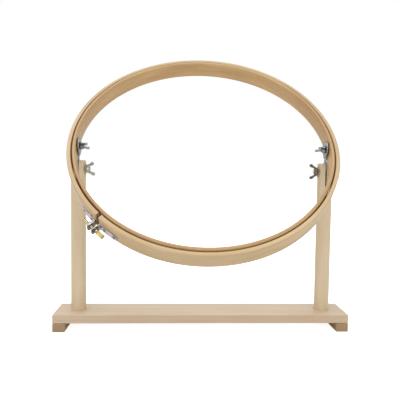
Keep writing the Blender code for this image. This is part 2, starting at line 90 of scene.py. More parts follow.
RIVET_HOLE_RADIUS = 1.2 * MM
RIVET_STAND_OFF = 0.3 * MM
WING_THICKNESS = 2.6 * MM
WING_TIP = (8.5 * MM, 8.8 * MM)     # middle of a wing's round end, across and along the axis
WING_TIP_RADIUS = 2.1 * MM
BRACKET_THICKNESS = 1.2 * MM
SLOT_PLAY = 1.3 * MM                # how much wider a post's slot is than its bracket
CRANK_START = 14.3 * MM             # from the hoop's bolt
CRANK_END = 17.5 * MM
RING_STEPS = 360


# ---------------------------------------------------------------- where the pieces are

def place_at(point, z_axis, x_hint=(1, 0, 0)):
    """The matrix of a frame whose Z runs along z_axis and whose X is as near x_hint as it can be."""
    z = Vector(z_axis).normalized()
    y = z.cross(Vector(x_hint)).normalized()
    x = y.cross(z)
    matrix = Matrix((x, y, z)).transposed().to_4x4()
    matrix.translation = Vector(point)
    return matrix


def local_box(node, place):
    """A node's lowest and highest corner in a local frame."""
    inverse = place.inverted()
    points = [inverse @ vertex.co for vertex in NODES[node].data.vertices]
    low = Vector([min(point[i] for point in points) for i in range(3)])
    high = Vector([max(point[i] for point in points) for i in range(3)])
    return low, high


def middle(node):
    low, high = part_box(node)
    return (low + high) / 2


def inwards(side):
    """The direction from one side of the stand to its middle."""
    return Vector((-side, 0, 0))


HOOP_CENTRE = Vector(JOINTS["hoop_tilt"]["pos_m"])
RING_AXIS = Vector(JOINTS["outer_ring_lift"]["axis"])
HOOP = place_at(HOOP_CENTRE, RING_AXIS)
SCREW_POINT = HOOP.inverted() @ Vector(JOINTS["clamp_screw_turn"]["pos_m"])
CLAMP_ANGLE = atan2(SCREW_POINT.y, SCREW_POINT.x)
CLAMP_DEPTH = SCREW_POINT.z
# The clamp's frame: X along the ring towards the left post, Y outwards, Z along the ring's axis.
CLAMP = HOOP @ Matrix.Rotation(CLAMP_ANGLE - pi / 2, 4, "Z") @ Matrix.Translation((0, 0, CLAMP_DEPTH))
SCREW_HEIGHT = hypot(SCREW_POINT.x, SCREW_POINT.y)


def ring_size(node):
    """Inside radius, outside radius, lowest and highest point of a ring along its axis."""
    inverse = HOOP.inverted()
    points = [inverse @ vertex.co for vertex in NODES[node].data.vertices]
    radii = [hypot(point.x, point.y) for point in points]
    depths = [point.z for point in points]
    return min(radii), max(radii), min(depths), max(depths)


INNER_RING = ring_size("inner_ring")
OUTER_RING = ring_size("outer_ring")


# ---------------------------------------------------------------- mesh tools

def mesh_of(shape):
    mesh = bpy.data.meshes.new("shape")
    shape.to_mesh(mesh)
    shape.free()
    return mesh


def modified(mesh, modifiers):
    """The mesh with modifiers applied, each given as (kind, settings)."""
    item = bpy.data.objects.new("work", mesh)
    bpy.context.scene.collection.objects.link(item)
    for kind, settings in modifiers:
        modifier = item.modifiers.new(kind, kind)
        for key, value in settings.items():
            setattr(modifier, key, value)
    bpy.context.view_layer.update()
    graph = bpy.context.evaluated_depsgraph_get()
    result = bpy.data.meshes.new_from_object(item.evaluated_get(graph))
    bpy.data.objects.remove(item)
    return result


def carved(mesh, cutters, operation="DIFFERENCE"):
    """The mesh with closed cutters taken away from it, or joined to it."""
    tools = []
    for cutter in cutters:
        tool = bpy.data.objects.new("cutter", cutter)
        bpy.context.scene.collection.objects.link(tool)
        tools.append(tool)
    steps = [("BOOLEAN", {"operation": operation, "solver": "EXACT", "object": tool}) for tool in tools]
    result = modified(mesh, steps)
    for tool in tools:
        bpy.data.objects.remove(tool)
    return result


def rounded(mesh, width, angle):
    """The mesh with the edges rounded that are sharper than an angle in degrees."""
    return modified(mesh, [("BEVEL", {
        "width": width, "segments": 2, "limit_method": "ANGLE",
        "angle_limit": radians(angle), "miter_outer": "MITER_ARC"})])


def moved(mesh, matrix):
    mesh.transform(matrix)
    return mesh


def box(size, edge=0.0):
    """A block round the origin, with its edges rounded if an edge width is given."""
    shape = bmesh.new()
    bmesh.ops.create_cube(shape, size=1, matrix=Matrix.Diagonal((*size, 1)))
    if edge:
        bmesh.ops.bevel(shape, geom=shape.edges[:], offset=edge, segments=3, profile=0.5, affect="EDGES")
    return mesh_of(shape)


def arc(centre, radius, start, end, steps):
    """Points on a circle from one angle to another, both ends included."""
    angles = [start + (end - start) * i / steps for i in range(steps + 1)]
    return [(centre[0] + radius * cos(a), centre[1] + radius * sin(a)) for a in angles]


def lathe(profile, sides=64, relief=None, closed=False):
    """Turns (radius, height) points about Z, given from low to high on the outer side.

    relief(angle, height) is how much the radius changes there. A closed profile goes
    back down inside, for a piece with a hole.
    """
    shape = bmesh.new()
    rows = []
    for radius, height in profile:
        if radius < 1e-7:
            rows.append([shape.verts.new((0, 0, height))])
            continue
        row = []
        for i in range(sides):
            angle = tau * i / sides
            r = radius + (relief(angle, height) if relief else 0)
            row.append(shape.verts.new((r * cos(angle), r * sin(angle), height)))
        rows.append(row)
    pairs = list(zip(rows, rows[1:]))
    if closed:
        pairs.append((rows[-1], rows[0]))
    for lower, upper in pairs:
        for i in range(sides):
            j = (i + 1) % sides
            corners = [
                lower[i % len(lower)], lower[j % len(lower)],
                upper[j % len(upper)], upper[i % len(upper)]]
            distinct = list(dict.fromkeys(corners))
            if len(distinct) > 2:
                shape.faces.new(distinct)
    bmesh.ops.recalc_face_normals(shape, faces=shape.faces)
    return mesh_of(shape)


def rod(radius, length, sides=48):
    """A plain rod on Z from the origin, used for cutting."""
    return lathe([(0, 0), (radius, 0), (radius, length), (0, length)], sides)


def plate(outline, thickness, holes=()):
    """A flat plate in XY, centred on Z, with round holes given as (x, y, radius)."""
    curve = bpy.data.curves.new("outline", "CURVE")
    curve.dimensions = "2D"
    curve.fill_mode = "BOTH"
    curve.extrude = thickness / 2
    loops = [outline]
    for x, y, radius in holes:
        loops.append(arc((x, y), radius, 0, tau, 40)[:-1])
    for loop in loops:
        spline = curve.splines.new("POLY")
        spline.points.add(len(loop) - 1)
        spline.use_cyclic_u = True
        for point, (x, y) in zip(spline.points, loop):
            point.co = (x, y, 0, 1)
    item = bpy.data.objects.new("work", curve)
    bpy.context.scene.collection.objects.link(item)
    bpy.context.view_layer.update()
    graph = bpy.context.evaluated_depsgraph_get()
    mesh = bpy.data.meshes.new_from_object(item.evaluated_get(graph))
    bpy.data.objects.remove(item)
    shape = bmesh.new()
    shape.from_mesh(mesh)
    bmesh.ops.remove_doubles(shape, verts=shape.verts, dist=0.001 * MM)
    bmesh.ops.dissolve_limit(shape, angle_limit=radians(1), verts=shape.verts, edges=shape.edges)
    bmesh.ops.recalc_face_normals(shape, faces=shape.faces)
    return mesh_of(shape)


def smooth_outline(points, steps):
    """A closed curve through the points (Catmull-Rom)."""
    count = len(points)
    result = []
    for i in range(count):
        a, b, c, d = (Vector(points[(i + k) % count]) for k in (-1, 0, 1, 2))
        for step in range(steps):
            t = step / steps
            point = 0.5 * (2 * b + (c - a) * t + (2 * a - 5 * b + 4 * c - d) * t ** 2
                           + (3 * b - a - 3 * c + d) * t ** 3)
            result.append(tuple(point))
    return result


def thread_relief(pitch, depth, start, end):
    """The groove of a screw thread between two heights, running out over one turn."""
    def relief(angle, height):
        run_out = min(height - start, end - height) / pitch
        if run_out <= 0:
            return 0
        phase = (height / pitch - angle / tau) % 1
        return -depth * min(1, run_out) * (1 - abs(2 * phase - 1))
    return relief


def thread_rows(radius, start, end, pitch):
    """The points of a profile that are close enough together to show a thread."""
    count = round((end - start) / pitch * ROWS_PER_THREAD)
    return [(radius, start + (end - start) * i / count) for i in range(count + 1)]


def cross_recess(reach, depth):
    """The two cutters for a cross-head recess. They go down from the origin along -Z and taper."""
    shapes = []
    for turn in (0, pi / 2):
        shape = bmesh.new()
        bmesh.ops.create_cube(shape, size=1, matrix=Matrix.Diagonal((2 * reach, RECESS_ARM, 2 * depth, 1)))
        for vertex in shape.verts:
            if vertex.co.z < 0:
                vertex.co.x *= 0.35
                vertex.co.y *= 0.7
        bmesh.ops.rotate(shape, verts=shape.verts, cent=(0, 0, 0), matrix=Matrix.Rotation(turn, 3, "Z"))
        shapes.append(mesh_of(shape))
    return shapes


# ---------------------------------------------------------------- materials

class Nodes:
    """Adds shader nodes to a material: inputs are values or other nodes' outputs."""

    def __init__(self, name):
        self.material = bpy.data.materials.new(name)
        self.material.use_nodes = True
        self.tree = self.material.node_tree
        self.shader = self.tree.nodes["Principled BSDF"]

    def add(self, kind, output=0, inputs=None, **settings):
        node = self.tree.nodes.new(kind)
        for key, value in settings.items():
            setattr(node, key, value)
        for key, value in (inputs or {}).items():
            self.set(node.inputs[key], value)
        return node.outputs[output]

    def set(self, socket, value):
        if isinstance(value, bpy.types.NodeSocket):
            self.tree.links.new(value, socket)
        else:
            socket.default_value = value

    def math(self, operation, *values):
        return self.add("ShaderNodeMath", inputs=dict(enumerate(values)), operation=operation)

    def scaled(self, vector, scale, offset=(0, 0, 0)):
        return self.add(
            "ShaderNodeMapping", inputs={"Vector": vector, "Scale": scale, "Location": offset})

    def noise(self, vector, detail=3.0, roughness=0.55):
        return self.add("ShaderNodeTexNoise", inputs={
            "Vector": vector, "Scale": 1.0, "Detail": detail, "Roughness": roughness})

    def between(self, value, low, high, start=0.0, end=1.0):
        """Maps a value from the range low to high onto the range start to end, and clamps it."""
        return self.add("ShaderNodeMapRange", inputs={
            "Value": value, "From Min": low, "From Max": high, "To Min": start, "To Max": end})

    def mix(self, factor, first, second):
        node = self.tree.nodes.new("ShaderNodeMix")
        node.data_type = "RGBA"
        for socket, value in zip((node.inputs[0], node.inputs[6], node.inputs[7]), (factor, first, second)):
            self.set(socket, value)
        return node.outputs[2]

    def bump(self, height, distance, strength):
        return self.add("ShaderNodeBump", inputs={
            "Height": height, "Distance": distance, "Strength": strength})


def colour(red, green, blue):
    return (red, green, blue, 1)


WHITE = colour(1, 1, 1)
FIBRE_COLOUR = colour(0.30, 0.19, 0.10)
RAY_COLOUR = colour(0.34, 0.19, 0.095)
# Browns mixed into wood and metal as painted shade: the board's front face, the mouth of the rings' joint and the
# clamp strap's ear.
WOOD_PAINTED_SHADE = colour(0.25, 0.13, 0.045)
METAL_PAINTED_SHADE = colour(0.17, 0.135, 0.10)
YEARS_PER_METRE = 420
YEAR_WARP = 2.6                     # how many years the growth rings are pushed to and fro


def wood(name, pale, deep, warm, pith=(0.030, 0.055), end_colour=None, speckle=1.0, gloss=1.0, mottle=0.5):
    """Beech. The piece's grain attribute gives metres along, across and through the grain.

    pale, deep and warm are the spring wood, the late wood and the darker clouds. pith is how
    far beside the piece the tree's middle runs. speckle, gloss and mottle are strengths.
    """
    n = Nodes(name)
    grain = n.add("ShaderNodeAttribute", output="Vector", attribute_name="grain")
    end = n.add("ShaderNodeAttribute", output="Fac", attribute_name="end_grain")
    painted_shade = n.add("ShaderNodeAttribute", output="Fac", attribute_name="painted_shade")

    # Growth rings round a pith line that runs beside the piece
    warp = n.noise(n.scaled(grain, (5, 38, 38)), detail=2)
    beside_pith = n.scaled(grain, (0.02, 1, 1), (0, *pith))
    parts = n.tree.nodes.new("ShaderNodeSeparateXYZ")
    n.set(parts.inputs[0], beside_pith)
    from_pith = n.math(
        "SQRT", n.math("ADD", n.math("POWER", parts.outputs[1], 2), n.math("POWER", parts.outputs[2], 2)))
    years = n.math(
        "ADD", n.math("MULTIPLY", from_pith, YEARS_PER_METRE), n.math("MULTIPLY", warp, YEAR_WARP))
    season = n.math("FRACT", years)
    late_wood = n.math("MULTIPLY", n.between(season, 0.45, 0.93), n.between(season, 1.0, 0.93))

    # Fibres, rays and the slow change of tone along a board
    fibre = n.noise(n.scaled(grain, (55, 2600, 2600)), detail=4, roughness=0.6)
    streak = n.noise(n.scaled(grain, (7, 240, 240), (3, 1, 7)), detail=3)
    cloud = n.noise(n.scaled(grain, (9, 30, 30), (8, 2, 5)), detail=2)
    rays = n.noise(n.scaled(grain, (420, 3600, 1500), (1, 5, 2)), detail=1)
    ray = n.between(rays, 0.63, 0.72)

    tone = n.math("ADD", n.math("MULTIPLY", late_wood, 0.34), n.between(streak, 0.35, 0.72, 0, 0.55))
    base = n.mix(tone, pale, deep)
    base = n.mix(n.between(cloud, 0.4, 0.65, 0, mottle), base, warm)
    base = n.mix(n.between(fibre, 0.3, 0.7, 0.16 * speckle, 0), base, FIBRE_COLOUR)
    base = n.mix(n.math("MULTIPLY", ray, 0.30 * speckle), base, RAY_COLOUR)
    base = n.mix(n.math("MULTIPLY", end, 0.75), base, end_colour or deep)
    # Painted shade: darker brown where the face attribute asks for it.
    base = n.mix(n.math("MULTIPLY", painted_shade, 0.85), base, WOOD_PAINTED_SHADE)
    n.set(n.shader.inputs["Base Color"], base)
    n.set(n.shader.inputs["Roughness"], n.between(fibre, 0.25, 0.75, 0.56, 0.40))
    n.shader.inputs["Specular IOR Level"].default_value = 0.5 * gloss
    n.shader.inputs["Coat Weight"].default_value = 0.12 * gloss
    n.shader.inputs["Coat Roughness"].default_value = 0.35
    height = n.math("SUBTRACT", fibre, n.math("MULTIPLY", ray, 0.7))
    n.set(n.shader.inputs["Normal"], n.bump(height, 0.06 * MM, 0.55))
    return n.material


def metal(name, clean, dull, smooth, rough, stretch=(900, 900, 900)):
    """Plated or drawn metal with a thin uneven skin. stretch is the skin's detail per metre.

    clean and dull are colours; smooth and rough are the lowest and highest roughness.
    """
    n = Nodes(name)
    grain = n.add("ShaderNodeAttribute", output="Vector", attribute_name="grain")
    skin = n.noise(n.scaled(grain, stretch), detail=4, roughness=0.6)
    patch = n.noise(n.scaled(grain, (170, 170, 170), (4, 9, 1)), detail=3)
    speck = n.between(n.noise(n.scaled(grain, (2300, 2300, 2300)), detail=2), 0.60, 0.75)
    wear_and_shade = n.between(patch, 0.38, 0.66)
    base = n.mix(wear_and_shade, clean, dull)
    base = n.mix(n.math("MULTIPLY", speck, 0.35), base, dull)
    # Painted shade: brown where the face attribute asks for it.
    painted_shade = n.add("ShaderNodeAttribute", output="Fac", attribute_name="painted_shade")
    base = n.mix(n.math("MULTIPLY", painted_shade, 0.7), base, METAL_PAINTED_SHADE)
    n.set(n.shader.inputs["Base Color"], base)
    n.shader.inputs["Metallic"].default_value = 1.0
    uneven = n.math("ADD", n.math("MULTIPLY", skin, 0.6), n.math("MULTIPLY", patch, 0.4))
    n.set(n.shader.inputs["Roughness"], n.between(uneven, 0.3, 0.7, smooth, rough))
    n.set(n.shader.inputs["Normal"], n.bump(skin, 0.012 * MM, 0.6))
    return n.material


MATERIALS = {
    "base_wood": wood(
        "beech_base", colour(0.585, 0.465, 0.32), colour(0.44, 0.315, 0.18), colour(0.495, 0.35, 0.205),
        end_colour=colour(0.20, 0.125, 0.06), gloss=2.2),
    "post_wood": wood(
        "beech_post", colour(0.605, 0.50, 0.34), colour(0.485, 0.37, 0.225), colour(0.53, 0.395, 0.25),
        pith=(0.012, 0.02)),
    "inner_ring_wood": wood(
        "beech_inner_ring", colour(0.52, 0.333, 0.145), colour(0.39, 0.228, 0.09), colour(0.365, 0.21, 0.08),
        pith=(0.09, 0.02), speckle=0.6, mottle=0.8),
    "outer_ring_wood": wood(
        "beech_outer_ring", colour(0.565, 0.422, 0.242), colour(0.43, 0.295, 0.148),
        colour(0.43, 0.29, 0.145), pith=(0.08, 0.03), end_colour=colour(0.28, 0.18, 0.10),
        speckle=0.6, mottle=0.7),
    "zinc_steel": metal("zinc_plate", colour(0.47, 0.465, 0.42), colour(0.33, 0.32, 0.28), 0.28, 0.48),
    "bracket_steel": metal(
        "steel_strip", colour(0.35, 0.355, 0.34), colour(0.245, 0.25, 0.24), 0.30, 0.5, (120, 1500, 1500)),
    "dark_steel": metal("dark_plate", colour(0.33, 0.365, 0.365), colour(0.18, 0.20, 0.20), 0.26, 0.45),
    "brass": metal("bright_brass", colour(0.62, 0.52, 0.29), colour(0.43, 0.33, 0.18), 0.20, 0.38),
}
WASHER_METAL = metal("yellow_zinc", colour(0.52, 0.46, 0.30), colour(0.34, 0.29, 0.16), 0.3, 0.5)
STRAP_METAL = metal("strap_zinc", colour(0.58, 0.54, 0.55), colour(0.42, 0.385, 0.37), 0.28, 0.48)
# A darker copy of the nuts' zinc, as painted shade on the right lower wing nut.
SHADED_NUT_METAL = metal("shaded_zinc", colour(0.24, 0.205, 0.17), colour(0.12, 0.10, 0.08), 0.3, 0.5)
# The feet take a darker, duller copy of the board's beech: the darker colour is painted shade for their shaded
# sides.
SHADED_FOOT_WOOD = wood(
    "beech_foot_shaded", colour(0.45, 0.33, 0.20), colour(0.33, 0.225, 0.13), colour(0.37, 0.25, 0.145),
    end_colour=colour(0.28, 0.185, 0.105), gloss=0.25)


# ---------------------------------------------------------------- putting a piece in place

def straight_grain(axis):
    """Grain coordinates of a piece whose grain runs along one of its own axes."""
    return lambda point: Vector((point[axis], point[(axis + 1) % 3], point[(axis + 2) % 3]))


def store_grain(mesh, grain, seed, painted_shade_of):
    """Writes the grain coordinates, shifted so that no two pieces show the same timber.

    Faces across the grain are marked as end grain, and the last argument gives each face's amount of painted shade
    from its middle.
    """
    shift = Vector((0.37 * seed, 0.011 * (seed % 5), 0.007 * (seed % 3)))
    vectors = mesh.attributes.new("grain", "FLOAT_VECTOR", "POINT")
    ends = mesh.attributes.new("end_grain", "FLOAT", "FACE")
    # The face attribute that carries painted shade.
    painted_shade_faces = mesh.attributes.new("painted_shade", "FLOAT", "FACE")
    coordinates = [grain(vertex.co) for vertex in mesh.vertices]
    for item, point in zip(vectors.data, coordinates):
        item.vector = point + shift
    for face in mesh.polygons:
        corners = [coordinates[i] for i in face.vertices]
        across = (corners[1] - corners[0]).cross(corners[2] - corners[0])
        if across.length > 0:
            ends.data[face.index].value = 1.0 if abs(across.normalized().x) > 0.8 else 0.0
        if painted_shade_of:
            painted_shade_faces.data[face.index].value = painted_shade_of(face.center)


def show(node, mesh, place, grain, material=None, sharp=38, painted_shade_of=None):
    """Puts a finished mesh in the place of a CAD node, on that node's body."""
    mesh.name = f"{node}_look"
    seed = sorted(NODES).index(node)
    store_grain(mesh, grain, seed, painted_shade_of)
    mesh.materials.clear()
    mesh.materials.append(material or MATERIALS[SLOT_OF[node]])
    mesh.shade_smooth()
    mesh.set_sharp_from_angle(angle=radians(sharp))
    piece = bpy.data.objects.new(f"{node}_look", mesh)
    bpy.context.scene.collection.objects.link(piece)
    piece.matrix_world = place
    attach(piece, BODY_OF[node])
    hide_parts(node)
    return piece


def soften(piece):
    """Keeps large flat faces flat next to rounded edges."""
    modifier = piece.modifiers.new("flat_faces", "WEIGHTED_NORMAL")
    modifier.keep_sharp = True


# ---------------------------------------------------------------- base and posts

def screw_hole(node, place):
    """The cutter for a countersunk wood screw that is driven along the place's Z."""
    high = local_box(node, place)[1]
    head, shank, below = high.x + 0.4 * MM, 1.9 * MM, -3 * MM
    tip = high.z + 0.3 * MM
    profile = [(0, below), (head, below), (head, 0), (shank, 2.3 * MM), (shank, tip), (0, tip)]
    return moved(lathe(profile, 40), place)


def make_wood_screw(node):
    low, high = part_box(node)
    centre = middle(node)
    place = place_at((centre.x, centre.y, low.z), (0, 0, 1))
    head = (high.x - low.x) / 2
    length = high.z - low.z
    shank = 1.6 * MM
    pitch = 1.6 * MM
    neck = 4 * MM
    point = length - 5 * MM
    profile = [(0, 0), (head - 0.25 * MM, 0), (head, 0.15 * MM), (head, 0.35 * MM), (shank, 2.0 * MM)]
    profile += thread_rows(shank, neck, point, pitch)
    profile += [(shank * 0.6, length - 2 * MM), (0, length)]
    mesh = lathe(profile, 32, thread_relief(pitch, 0.5 * MM, neck, point))
    recess = [moved(cutter, Matrix.Rotation(pi, 4, "X")) for cutter in cross_recess(1.7 * MM, 1.3 * MM)]
    mesh = carved(mesh, recess)
    show(node, mesh, place, straight_grain(2))
    return screw_hole(node, place)


def shifted(cutter, place):
    """A copy of a cutter, moved from the world into a local frame."""
    return moved(cutter.copy(), place.inverted())


def make_base():
    board_place = Matrix.Translation(middle("base_board"))
    low, high = local_box("base_board", board_place)
    board = box(high - low, WOOD_EDGE)
    board_cutters = []
    for side_name, side in SIDES.items():
        foot_node = f"{side_name}_foot"
        foot_place = Matrix.Translation(middle(foot_node))
        foot_low, foot_high = local_box(foot_node, foot_place)
        foot = box(foot_high - foot_low, WOOD_EDGE)
        holes = [make_wood_screw(f"{side_name}_foot_{end}_screw") for end in ("front", "rear")]
        foot = carved(foot, [shifted(hole, foot_place) for hole in holes])
        soften(show(foot_node, foot, foot_place, straight_grain(1), SHADED_FOOT_WOOD))

        post_low, post_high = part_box(f"{side_name}_post")
        post_middle = (post_low + post_high) / 2
        socket_radius = (post_high.x - post_low.x) / 2 + 0.12 * MM
        board_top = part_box("base_board")[1].z
        socket = moved(
            rod(socket_radius, 30 * MM, 96), Matrix.Translation((post_middle.x, post_middle.y, post_low.z)))
        post_hole = make_wood_screw(f"{side_name}_post_screw")
        board_cutters += [shifted(cutter, board_place) for cutter in (*holes, socket, post_hole)]
        make_post(side_name, side, post_low, post_high, board_top)
    board = carved(board, board_cutters)
    # The front face gets painted shade: a little darker and yellower than the top.
    soften(show(
        "base_board", board, board_place, straight_grain(0),
        painted_shade_of=lambda point: BOARD_FRONT_PAINTED_SHADE if point.y < low.y + 0.1 * MM else 0))


def make_post(side_name, side, low, high, board_top):
    """A sanded dowel with softly rounded ends, a slot for the bracket and seats for bolt and washer."""
    node = f"{side_name}_post"
    centre = (low + high) / 2
    place = Matrix.Translation((centre.x, centre.y, low.z))
    radius = (high.x - low.x) / 2
    height = high.z - low.z
    ease = 1.4 * MM
    profile = [(0, 0), (radius - MM, 0), (radius, MM), (radius, board_top - low.z + 2 * MM)]
    profile += [(radius, height * share) for share in (0.25, 0.5, 0.75)]
    profile += arc((radius - ease, height - ease), ease, 0, pi / 2, 5)
    profile += [(0, height)]
    mesh = lathe(profile, 128)

    pivot = Vector(JOINTS[f"{side_name}_arm_swing"]["pos_m"])
    bracket_low, bracket_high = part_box(f"{side_name}_bracket")
    slot_x = max(abs(bracket_low.x), abs(bracket_high.x)) - BRACKET_THICKNESS / 2
    slot_width = BRACKET_THICKNESS + SLOT_PLAY
    # The slot's cutter stands 5 mm out of the post's top.
    slot_depth = high.z - bracket_low.z + 18.5 * MM
    slot = moved(
        box((slot_width, 4 * radius, slot_depth)),
        Matrix.Translation((side * slot_x - centre.x, 0, height - slot_depth / 2 + 5 * MM)))
    pivot_height = pivot.z - low.z
    bolt_hole = moved(
        rod(BOLT_CLEARANCE, 4 * radius), place_at((-2 * radius, 0, pivot_height), (1, 0, 0), (0, 0, 1)))
    cutters = [slot, bolt_hole]
    seat = radius - 1.1 * MM
    for direction in (LEFT, RIGHT):
        cutters.append(moved(
            rod(7.5 * MM, 5 * MM, 64),
            place_at((direction * seat, 0, pivot_height), (direction, 0, 0), (0, 0, 1))))
    mesh = carved(mesh, cutters)
    mesh = rounded(mesh, 0.22 * MM, 50)
    soften(show(node, mesh, place, straight_grain(2)))


# ---------------------------------------------------------------- bolts, washers and wing nuts

def make_washer(node, axis, material):
    """A stamped washer: one face rounded over at its rims."""
    place = place_at(middle(node), axis, (0, 0, 1))
    high = local_box(node, place)[1]
    radius, half = high.x, high.z
    hole = BOLT_CLEARANCE
    e = 0.3 * MM
    profile = [(hole + e, -half), (radius - e * 0.4, -half), (radius, -half + e * 0.4)]
    profile += arc((radius - 1.6 * e, half - 1.2 * e), 1.6 * e, 0, pi / 2, 4)[1:-1]
    profile += [(radius - 2.4 * e, half), (hole + e, half), (hole, half - e), (hole, -half + e)]
    show(node, lathe(profile, 80, closed=True), place, straight_grain(2), material)


def make_bolt(node, axis, sunk):
    """A cross-head machine screw, threaded to its end. Its head is at the low end of the axis."""
    centre = middle(node)
    place = place_at(centre, axis, (0, 0, 1))
    low, high = local_box(node, place)
    place = place @ Matrix.Translation((0, 0, low.z))
    length, head = high.z - low.z, high.x
    radius = 2.45 * MM
    if sunk:
        head_height = 2.3 * MM
        profile = [(0, 0), (head - 0.3 * MM, 0), (head, 0.15 * MM), (head, 0.35 * MM), (radius, head_height)]
    else:
        head_height = 2.8 * MM
        edge = head_height * 0.45
        profile = [(head * sin(a), edge * (1 - cos(a))) for a in (pi / 2 * i / 8 for i in range(9))]
        profile[0] = (0, 0)
        profile += [(head, head_height - 0.25 * MM), (head - 0.25 * MM, head_height), (radius, head_height)]
    start, end = head_height + MM, length - 0.4 * MM
    profile += thread_rows(radius, start, end, M5_PITCH)
    profile += [(radius - 0.45 * MM, length), (0, length)]
    mesh = lathe(profile, 40, thread_relief(M5_PITCH, THREAD_DEPTH, start, end + 0.3 * MM))
    recess = [moved(cutter, Matrix.Rotation(pi, 4, "X")) for cutter in cross_recess(2.3 * MM, 1.5 * MM)]
    mesh = carved(mesh, recess)
    show(node, mesh, place, straight_grain(2))


def wing_outline(side):
    """One wing, in the plane of the nut's axis, as (across, along): a short bar with a round end."""
    points = [(3.1 * MM, 0.6 * MM), (5.4 * MM, 0.8 * MM), (7.4 * MM, 4.4 * MM)]
    points += arc(WING_TIP, WING_TIP_RADIUS, radians(-35), radians(145), 5)
    points += [(5.1 * MM, 6.0 * MM), (4.1 * MM, 4.2 * MM), (3.1 * MM, 4.1 * MM)]
    return [(side * across, along) for across, along in points]


def wing_nut_mesh():
    """A cast wing nut on Z, its flat base at the origin and its wings along X."""
    hub_base, hub_top, height, hole = 4.9 * MM, 4.0 * MM, 4.6 * MM, 2.75 * MM
    profile = [
        (hole + 0.4 * MM, 0), (hub_base - 0.2 * MM, 0), (hub_base, 0.3 * MM), (hub_base, 1.4 * MM),
        (hub_top + 0.3 * MM, 3.0 * MM), (hub_top, height - 0.4 * MM), (hub_top - 0.4 * MM, height),
        (hole + 0.4 * MM, height), (hole, height - 0.4 * MM), (hole, 0.4 * MM)]
    shape = bmesh.new()
    shape.from_mesh(lathe(profile, 64, closed=True))
    upright = Matrix.Rotation(pi / 2, 4, "X")
    for side in (LEFT, RIGHT):
        wing = plate(smooth_outline(wing_outline(side), 4), WING_THICKNESS)
        shape.from_mesh(moved(wing, upright))
    # Fusing the three shapes and relaxing the surface gives the casting's soft inside corners.
    return modified(mesh_of(shape), [
        ("REMESH", {"mode": "VOXEL", "voxel_size": 0.21 * MM}),
        ("SMOOTH", {"factor": 0.5, "iterations": 5})])


def make_wing_nut(node, joint_name, wing_nut, material=None):
    """Seats a wing nut on its bolt's axis and turns its wings as the CAD has them."""
    joint = JOINTS[joint_name]
    axis = Vector(joint["axis"])
    probe = place_at(middle(node), axis, (0, 0, 1))
    low, _ = local_box(node, probe)
    base = probe @ Vector((0, 0, low.z))
    base = Vector((base.x, joint["pos_m"][1], joint["pos_m"][2]))
    place = place_at(base, axis, (0, 0, 1))
    inverse = place.inverted()
    points = [inverse @ vertex.co for vertex in NODES[node].data.vertices]
    reach = max(hypot(point.x, point.y) for point in points)
    tips = [point for point in points if hypot(point.x, point.y) > 0.95 * reach]
    # Both wings' tips, turned to one side, give the middle line of the wings.
    along = Vector((0, 0))
    for point in tips:
        tip = point.xy
        along += tip if tip.dot(tips[0].xy) > 0 else -tip
    place = place @ Matrix.Rotation(atan2(along.y, along.x), 4, "Z")
    show(node, wing_nut.copy(), place, straight_grain(2), material, sharp=60)


def make_fasteners():
    wing_nut = wing_nut_mesh()
    for side_name, side in SIDES.items():
        axis = inwards(side)
        make_bolt(f"{side_name}_post_bolt", axis, sunk=False)
        make_washer(f"{side_name}_post_washer", axis, WASHER_METAL)
        # The right lower wing nut is darker as painted shade.
        wear_and_shade = SHADED_NUT_METAL if side == RIGHT else None
        make_wing_nut(f"{side_name}_post_wing_nut", f"{side_name}_lower_nut_turn", wing_nut, wear_and_shade)
        make_bolt(f"{side_name}_hoop_bolt", axis, sunk=True)
        make_washer(f"{side_name}_hoop_washer", axis, MATERIALS["bracket_steel"])
        make_wing_nut(f"{side_name}_hoop_wing_nut", f"{side_name}_upper_nut_turn", wing_nut)


# ---------------------------------------------------------------- brackets

def cranked(mesh, length, offset):
    """Shifts a strip's far end along Z through two soft bends."""
    shape = bmesh.new()
    shape.from_mesh(mesh)
    start, end = length - CRANK_END, length - CRANK_START
    cuts = 14
    for i in range(cuts + 1):
        bmesh.ops.bisect_plane(
            shape, geom=[*shape.verts, *shape.edges, *shape.faces],
            plane_co=(start + (end - start) * i / cuts, 0, 0), plane_no=(1, 0, 0))
    for vertex in shape.verts:
        share = min(1, max(0, (vertex.co.x - start) / (end - start)))
        vertex.co.z += offset * share * share * (3 - 2 * share)
    return mesh_of(shape)


def make_bracket(side_name, side):
    """A sheared steel strip with round ends, two clearance holes and a crank above the post."""
    node = f"{side_name}_bracket"
    pivot = Vector(JOINTS[f"{side_name}_arm_swing"]["pos_m"])
    box_low, box_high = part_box(node)
    lower_x = side * (max(abs(box_low.x), abs(box_high.x)) - BRACKET_THICKNESS / 2)
    upper_x = side * (min(abs(box_low.x), abs(box_high.x)) + BRACKET_THICKNESS / 2)
    lower = Vector((lower_x, pivot.y, pivot.z))
    upper = Vector((lower_x, HOOP_CENTRE.y, HOOP_CENTRE.z))
    place = place_at(lower, (1, 0, 0), upper - lower)
    half = local_box(node, place)[1].y
    length = (upper - lower).length
    outline = arc((0, 0), half, pi / 2, 3 * pi / 2, 28) + arc((length, 0), half, -pi / 2, pi / 2, 28)
    holes = [(0, 0, BOLT_CLEARANCE), (length, 0, BOLT_CLEARANCE)]
    mesh = rounded(plate(outline, BRACKET_THICKNESS, holes), METAL_EDGE, 60)
    mesh = cranked(mesh, length, upper_x - lower_x)
    show(node, mesh, place, straight_grain(0))


# ---------------------------------------------------------------- rings

